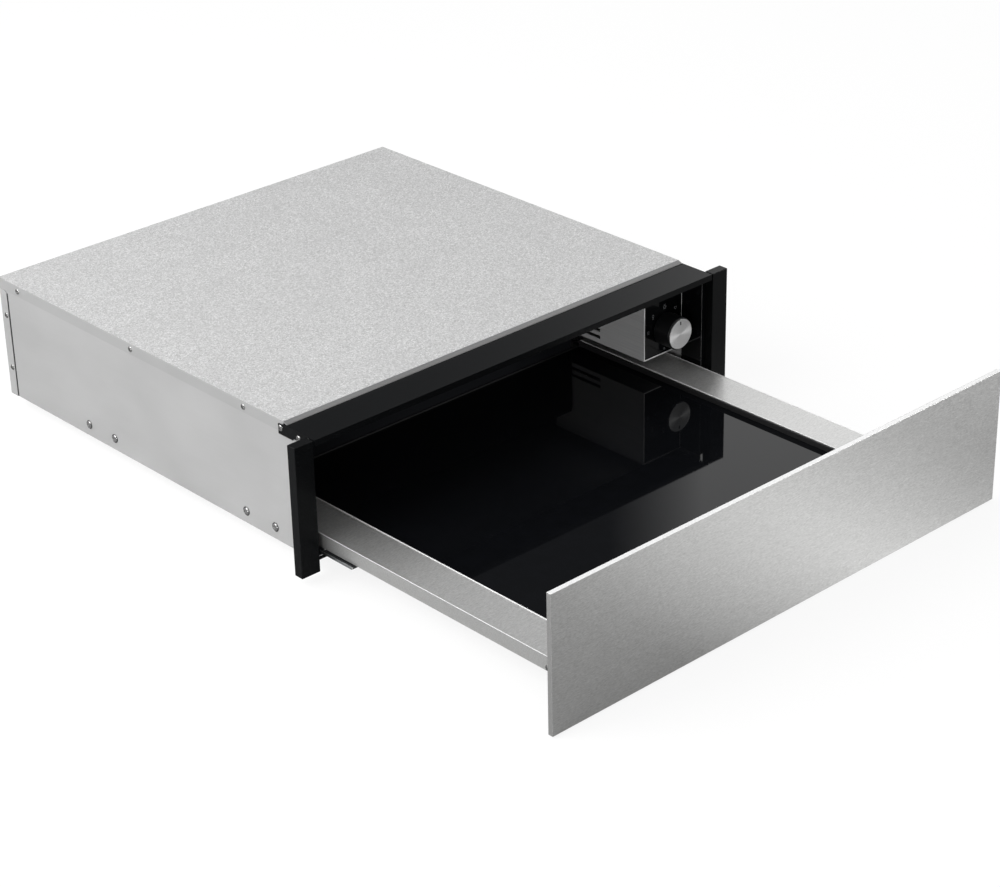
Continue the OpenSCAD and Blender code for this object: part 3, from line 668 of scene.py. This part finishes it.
def fitted(node, pattern, finish, name=None):
    """Copies a pattern to each of a node's solids, head outwards along X, as one piece.

    Without a name the piece stands for the node, and with one it is an extra piece, such as the dark rings
    of painted shadow round the rivets.
    """
    copies = []
    for index, (low, high) in enumerate(solids_of(node)):
        side = 1 if low.x + high.x > 0 else -1
        seat = (high.x if side > 0 else -low.x) - HEAD_H
        made = pattern.copy()
        made.data = pattern.data.copy()
        bpy.context.scene.collection.objects.link(made)
        made.location = at(side * seat, (low.y + high.y) / 2, (low.z + high.z) / 2)
        made.rotation_mode = "ZYX"
        made.rotation_euler = (0, side * math.pi / 2, math.radians(SPIN_STEP * index))
        copies.append(made)
    piece = joined(copies, name or node + "_formed")
    finish_of(piece, finish)
    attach(piece, frame["nodes"][node]["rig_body"])
    if name:
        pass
    else:
        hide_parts(node)
    bpy.data.objects.remove(pattern)


def rivet_shadow_ring():
    """A thin dark ring round the foot of a rivet's head: painted shadow where the head meets the sheet."""
    bpy.ops.mesh.primitive_torus_add(
        major_radius=SHADOW_RING_R * MM, minor_radius=SHADOW_RING_T * MM, major_segments=48, minor_segments=10,
        location=at(0, 0, 0.25),
    )
    ring = bpy.context.object
    settle(ring)
    return ring


# The dark rings of painted shadow come first, because a node can't be measured once a piece stands for it
fitted("runner_rivets", rivet_shadow_ring(), RUBBER, "rivet_painted_shadow_rings")
fitted("casing_screws", cross_screw(SCREW_L), SCREW_METAL)
fitted("runner_rivets", dimpled_rivet(RIVET_L), RIVET_METAL)
fitted("drawer_screws", cross_screw(SCREW_L), RIVET_METAL)


# The dark seam strips: painted shade for the shadow gaps at the rear corners
SEAM_STRIP = (0.5, 1.5, 118)
SEAM_STRIP_X, SEAM_STRIP_FROM_BACK, SEAM_STRIP_Z = 261.85, 12.6, 73


def seam_shade_strips():
    """Dark strips in the upright seams between the rear panel's flanges and the side sheets: painted shade
    for the shadow gap there.
    """
    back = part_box("rear_panel")[1].y / MM
    shade_strips = []
    for side in (-1, 1):
        shade_strip = block(SEAM_STRIP, (side * SEAM_STRIP_X, back - SEAM_STRIP_FROM_BACK, SEAM_STRIP_Z))
        edged(shade_strip, 0.2)
        shade_strips.append(shade_strip)
    piece = joined(shade_strips, "rear_seam_painted_shade_strips")
    finish_of(piece, RUBBER)
    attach(piece, "casing")


seam_shade_strips()


# Each rail's top lies between these distances from the middle
RAIL_IN, RAIL_OUT = 212.3, 255.0


def rail_highlight_strips():
    """Near-white strips on the rolled folds along both top edges of each drawer rail: a painted highlight.
    """
    strips = []
    for node in ("left_drawer_rail", "right_drawer_rail"):
        low, high = [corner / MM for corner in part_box(node)]
        side = -1 if node.startswith("left") else 1
        for x, wide, tall in ((RAIL_IN + 0.5, 1.0, 0.8), (RAIL_OUT - 0.35, 0.7, 0.5)):
            strip = block(
                (wide, high.y - low.y - 2, tall), (side * x, (low.y + high.y) / 2, high.z + 0.02),
            )
            edged(strip, 0.2, 3)
            strips.append(strip)
    piece = joined(strips, "rail_fold_strips_with_painted_highlight")
    # Near-white finish on the strips: a painted highlight
    finish_of(piece, PAINTED_EDGE_HIGHLIGHT)
    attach(piece, "drawer")


rail_highlight_strips()


GRIP_R, DISC_R = 17.5, 16.3
INLAY = (1.9, 0.5, 4.0)


def knob_parts():
    """The knob: a matt body with a rolled front edge, and a turned disc with a bright rim."""
    back = KNOB_HIGH.y / MM
    front = KNOB_LOW.y / MM
    x, z = KNOB.x / MM, KNOB.z / MM
    body_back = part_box("knob_body")[1].y / MM
    upright = (math.pi / 2, 0, 0)
    body = cylinder(GRIP_R, body_back - back, (x, (back + body_back) / 2, z), upright, 128)
    pick(body, lambda co: co.y < (back + 0.01) * MM)
    bpy.ops.mesh.inset(thickness=1.6 * MM)
    bpy.ops.object.mode_set(mode="OBJECT")
    edged(body, 1.1, 4)
    finish_of(body, KNOB_PLASTIC)
    body.name = "knob_grip_body"
    disc = cylinder(DISC_R, back - front, (x, (back + front) / 2, z), upright, 128)
    pick(disc, lambda co: co.y < (front + 0.01) * MM)
    bpy.ops.mesh.inset(thickness=1.0 * MM)
    bpy.ops.transform.translate(value=at(0, 0.15, 0))
    bpy.ops.object.mode_set(mode="OBJECT")
    edged(disc, 0.25, 3)
    finish_of(disc, SPUN)
    disc.name = "knob_turned_disc"
    low, high = [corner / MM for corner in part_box("knob_pointer")]
    middle = (low + high) / 2
    pointer = block(INLAY, (middle.x, front + 0.32, middle.z))
    edged(pointer, 0.2, 3)
    finish_of(pointer, KNOB_PLASTIC)
    pointer.name = "knob_pointer_inlay"
    for piece, node in ((body, "knob_body"), (disc, "knob_disc"), (pointer, "knob_pointer")):
        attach(piece, frame["nodes"][node]["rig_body"])
        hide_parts(node)


knob_parts()


# How far the tips reach back, how tall their lips are, and how much of the lips carries a painted highlight
TIP_BACK, LIP_H, HIGHLIGHT_BACK = 50, 2.4, 60
CAGE_L, CAGE_H = 45, 1.2


def runner_tips():
    """The tips of the middle channels in front of the posts: shallow lips whose tops and fronts carry a
    painted highlight, with a black cage between whose dark is painted shade.
    """
    for side in ("left", "right"):
        node = side + "_runner_middle"
        piece = PIECES[node]
        low, high = [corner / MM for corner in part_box(node)]
        middle_x = (low.x + high.x) / 2
        below = block(
            (high.x - low.x + 2, TIP_BACK + 2, 20),
            (middle_x, low.y + TIP_BACK / 2 - 1, high.z - LIP_H - 10),
        )
        cut(piece, below)
        settle(piece)
        # A black cage whose dark is painted shade for the channel between the lips
        cage = block((high.x - low.x - 2.0, CAGE_L, CAGE_H), (middle_x, low.y + 22.8, high.z - 1.8))
        edged(cage, 0.3)
        # Painted highlight: near-white on the tops and fronts of the lips
        paint_faces(
            piece, PAINTED_EDGE_HIGHLIGHT,
            lambda normal, middle, top=high.z, front=low.y: (
                middle.y < front + HIGHLIGHT_BACK
                and (normal.z > 0.5 and middle.z > top - 0.6 or normal.y < -0.6)
            ),
        )
        cage.name = side + "_runner_cage_with_painted_shade"
        finish_of(cage, PLASTIC)
        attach(cage, frame["nodes"][node]["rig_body"])


runner_tips()


# The circle that the marks stand on, and the width of their lines
MARK_CIRCLE, MARK_LINE = 24, 0.4


def fascia_marks():
    """Small printed pictograms round the knob: off, cup, glass, plate and bowl."""
    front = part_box("control_fascia")[0].y / MM
    cx, cz = KNOB.x / MM, KNOB.z / MM
    parts = []

    def ring(angle, radius, dx=0.0, dz=0.0, tall=1.0):
        """An outline of a cup, plate or bowl, at an angle round the knob."""
        turn = math.radians(angle)
        bpy.ops.mesh.primitive_torus_add(
            major_radius=radius * MM, minor_radius=0.24 * MM, major_segments=28, minor_segments=6,
            location=at(
                cx + MARK_CIRCLE * math.cos(turn) + dx, front, cz + MARK_CIRCLE * math.sin(turn) + dz,
            ),
            rotation=(math.pi / 2, 0, 0),
        )
        made = bpy.context.object
        made.scale = (1, tall, 0.35)
        parts.append(made)

    def bar(angle, width, height, dx=0.0, dz=0.0, lean=0.0):
        """A straight line of a mark, at an angle round the knob."""
        turn = math.radians(angle)
        parts.append(block(
            (width, 0.16, height),
            (cx + MARK_CIRCLE * math.cos(turn) + dx, front, cz + MARK_CIRCLE * math.sin(turn) + dz),
            (0, math.radians(lean), 0),
        ))

    ring(270, 0.85)
    ring(176, 1.25)
    bar(176, 3.2, MARK_LINE, 0, -2.0)
    ring(135, 1.1, 0, 0.9, 1.4)
    bar(135, MARK_LINE, 1.6, 0, -1.4)
    bar(135, 2.2, MARK_LINE, 0, -2.3)
    ring(90, 1.5, 0, -0.6)
    ring(90, 0.7, 2.0, -0.5)
    bar(90, 3.8, MARK_LINE, 0, -2.5)
    bar(90, MARK_LINE, 1.5, -0.7, 2.0, 15)
    bar(90, MARK_LINE, 1.5, 0.7, 2.0, 15)
    ring(47, 1.7, 0, 0, 0.7)
    bar(47, 4.2, MARK_LINE, 0, 1.1)
    bar(47, 2.0, MARK_LINE, 0, -1.6)
    piece = joined(parts, "fascia_marks")
    finish_of(piece, PRINT)
    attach(piece, "casing")


fascia_marks()


# Camera at the photograph's place

FOCAL_MM = 95.083
SENSOR_MM = 36.0
CAMERA_MM = (-1575.436, -1785.901, 1236.373)
HEADING, TILT, ROLL = math.radians(42.2332), math.radians(27.2154), math.radians(-1.3226)
camera_data = bpy.data.cameras.new("camera")
camera_data.lens = FOCAL_MM
camera_data.sensor_width = SENSOR_MM
camera_data.clip_start = 0.05
camera_data.clip_end = 60
camera = bpy.data.objects.new("camera", camera_data)
bpy.context.scene.collection.objects.link(camera)
camera.location = at(*CAMERA_MM)
camera.rotation_mode = "QUATERNION"
camera.rotation_quaternion = (
    Matrix.Rotation(-HEADING, 3, "Z")
    @ Matrix.Rotation(math.pi / 2 - TILT, 3, "X")
    @ Matrix.Rotation(ROLL, 3, "Z")
).to_quaternion()
bpy.context.scene.camera = camera


# Studio

# Degrees right of straight back where the dark flag ends and the bright window begins
FLAG_HEADING = 47.2
BASE_GLOW, WINDOW_GLOW = 0.82, 2.2
# The white card in front: its middle, and where it is full and where it ends, in metres along X
CARD_X, CARD_FULL, CARD_END = 0.13, 0.02, 0.25


def dot(tree, vector, direction):
    """How far a vector points along a direction."""
    made = add(tree, "ShaderNodeVectorMath", {0: vector}, {"operation": "DOT_PRODUCT"})
    made.inputs[1].default_value = direction
    return made.outputs["Value"]


def studio_world():
    """White where the camera looks, a soft grey studio in light and reflections.

    Left of the flag's heading the studio behind the drawer is dark, which keeps the left of the glass
    black. Right of it a bright window shows in the right of the glass.
    """
    world = bpy.data.worlds.new("studio")
    bpy.context.scene.world = world
    world.use_nodes = True
    tree = world.node_tree
    background = tree.nodes["Background"]
    coordinates = add(tree, "ShaderNodeTexCoord")
    height = add(tree, "ShaderNodeSeparateXYZ", {"Vector": coordinates.outputs["Generated"]})
    dome = ramp(tree, height.outputs["Z"], [(0.0, "#D8D8D8"), (0.55, "#F2F2F2")])
    line = math.radians(FLAG_HEADING)
    side = dot(tree, coordinates.outputs["Generated"], (-math.cos(line), math.sin(line), 0))
    ahead = dot(tree, coordinates.outputs["Generated"], (math.sin(line), math.cos(line), 0))
    flag = [
        spread(tree, side, 0.0, 1.0, 0.0, 0.035),
        spread(tree, side, 1.0, 0.0, 0.4, 0.5),
        spread(tree, ahead, 0.0, 1.0, 0.1, 0.3),
        spread(tree, height.outputs["Z"], 1.0, 0.0, 0.5, 0.75),
    ]
    dome = mix(tree, product(tree, flag), dome, "#707174")
    front = [
        spread(tree, height.outputs["Z"], 1.0, 0.0, 0.3, 0.6),
        spread(tree, dot(tree, coordinates.outputs["Generated"], (0, -1, 0)), 0.0, 1.0, 0.1, 0.5),
    ]
    dome = mix(tree, product(tree, front), dome, "#8C8C8C")
    window = [
        spread(tree, side, 1.0, 0.0, 0.0, 0.035),
        spread(tree, side, 0.0, 1.0, -0.17, -0.13),
        spread(tree, height.outputs["Z"], 0.0, 1.0, 0.28, 0.34),
        spread(tree, height.outputs["Z"], 1.0, 0.0, 0.56, 0.62),
        spread(tree, ahead, 0.0, 1.0, 0.5, 0.6),
    ]
    glow = add(tree, "ShaderNodeMix", {"Factor": product(tree, window)}, {"data_type": "FLOAT"})
    glow.inputs[2].default_value = BASE_GLOW
    glow.inputs[3].default_value = WINDOW_GLOW
    rays = add(tree, "ShaderNodeLightPath")
    shown = add(
        tree, "ShaderNodeMath",
        {0: rays.outputs["Is Camera Ray"], 1: rays.outputs["Is Transmission Ray"]},
        {"operation": "MAXIMUM"},
    ).outputs[0]
    tree.links.new(mix(tree, shown, dome, WHITE), background.inputs["Color"])
    strength = add(tree, "ShaderNodeMix", {"Factor": shown}, {"data_type": "FLOAT"})
    tree.links.new(glow.outputs[0], strength.inputs[2])
    strength.inputs[3].default_value = 1.0
    tree.links.new(strength.outputs[0], background.inputs["Strength"])


def studio_floor():
    """A pale floor, white to the camera, that keeps a faint shadow.

    In reflections it is grey, with a white card across it that brightens the middle of the front.
    """
    bpy.ops.object.select_all(action="DESELECT")
    bpy.ops.mesh.primitive_plane_add(size=30, location=(0, 0, -0.0005))
    floor = bpy.context.object
    floor.name = "studio_floor"
    material, tree, shader = start("white_paper_floor", Roughness=0.9)
    shader.inputs["Base Color"].default_value = linear("#F4F4F4")
    rays = add(tree, "ShaderNodeLightPath")
    paper = add(tree, "ShaderNodeEmission", Color=linear(WHITE), Strength=1.03)
    spot = add(tree, "ShaderNodeTexCoord").outputs["Object"]
    across = add(tree, "ShaderNodeSeparateXYZ", {"Vector": spot}).outputs["X"]
    offset = add(tree, "ShaderNodeMath", {0: across}, {"operation": "SUBTRACT"})
    offset.inputs[1].default_value = CARD_X
    apart = add(tree, "ShaderNodeMath", {0: offset.outputs[0]}, {"operation": "ABSOLUTE"})
    card = mix(tree, spread(tree, apart.outputs[0], 1.0, 0.0, CARD_FULL, CARD_END), "#7C7C7C", WHITE)
    dimmed = add(tree, "ShaderNodeEmission", {"Color": card}, Strength=1.1)
    surface = shader.outputs[0]
    for ray, share, glow in (("Is Camera Ray", 0.84, paper), ("Is Glossy Ray", 0.8, dimmed)):
        amount = add(tree, "ShaderNodeMath", {0: rays.outputs[ray]}, {"operation": "MULTIPLY"})
        amount.inputs[1].default_value = share
        blend = add(tree, "ShaderNodeMixShader")
        for index, socket in enumerate((amount.outputs[0], surface, glow.outputs[0])):
            tree.links.new(socket, blend.inputs[index])
        surface = blend.outputs[0]
    tree.links.new(surface, tree.nodes["Material Output"].inputs["Surface"])
    finish_of(floor, material)


def softbox(name, place_at, target, size, power):
    """A rectangular area lamp aimed at a point, in metres and watts."""
    data = bpy.data.lights.new(name, "AREA")
    data.shape = "RECTANGLE"
    data.size, data.size_y = size
    data.energy = power
    lamp = bpy.data.objects.new(name, data)
    bpy.context.scene.collection.objects.link(lamp)
    lamp.location = place_at
    lamp.rotation_mode = "QUATERNION"
    lamp.rotation_quaternion = (Vector(target) - Vector(place_at)).to_track_quat("-Z", "Y")


studio_world()
studio_floor()
softbox("overhead", (-1.5, 0.25, 1.6), (-0.1, 0.1, 0.1), (1.2, 1.2), 15)
softbox("left_window", (-1.9, 0.5, 1.3), (-0.2, 0.1, 0.1), (1.2, 1.2), 16)
softbox("left_low", (-2.5, -1.75, 0.22), (0.2, 0.0, 0.1), (0.8, 0.3), 20)
softbox("front_band", (1.95, -2.19, 0.3), (0.05, -0.43, 0.08), (0.25, 0.5), 13)
softbox("edge_spot", (1.6, 0.7, 1.6), (0.0, -0.1, 0.15), (0.2, 0.2), 1)
softbox("rear_left_strip", (-1.1, 1.4, 1.5), (0.0, -0.2, 0.0), (0.9, 0.5), 10)

bpy.context.scene.view_settings.view_transform = "Standard"
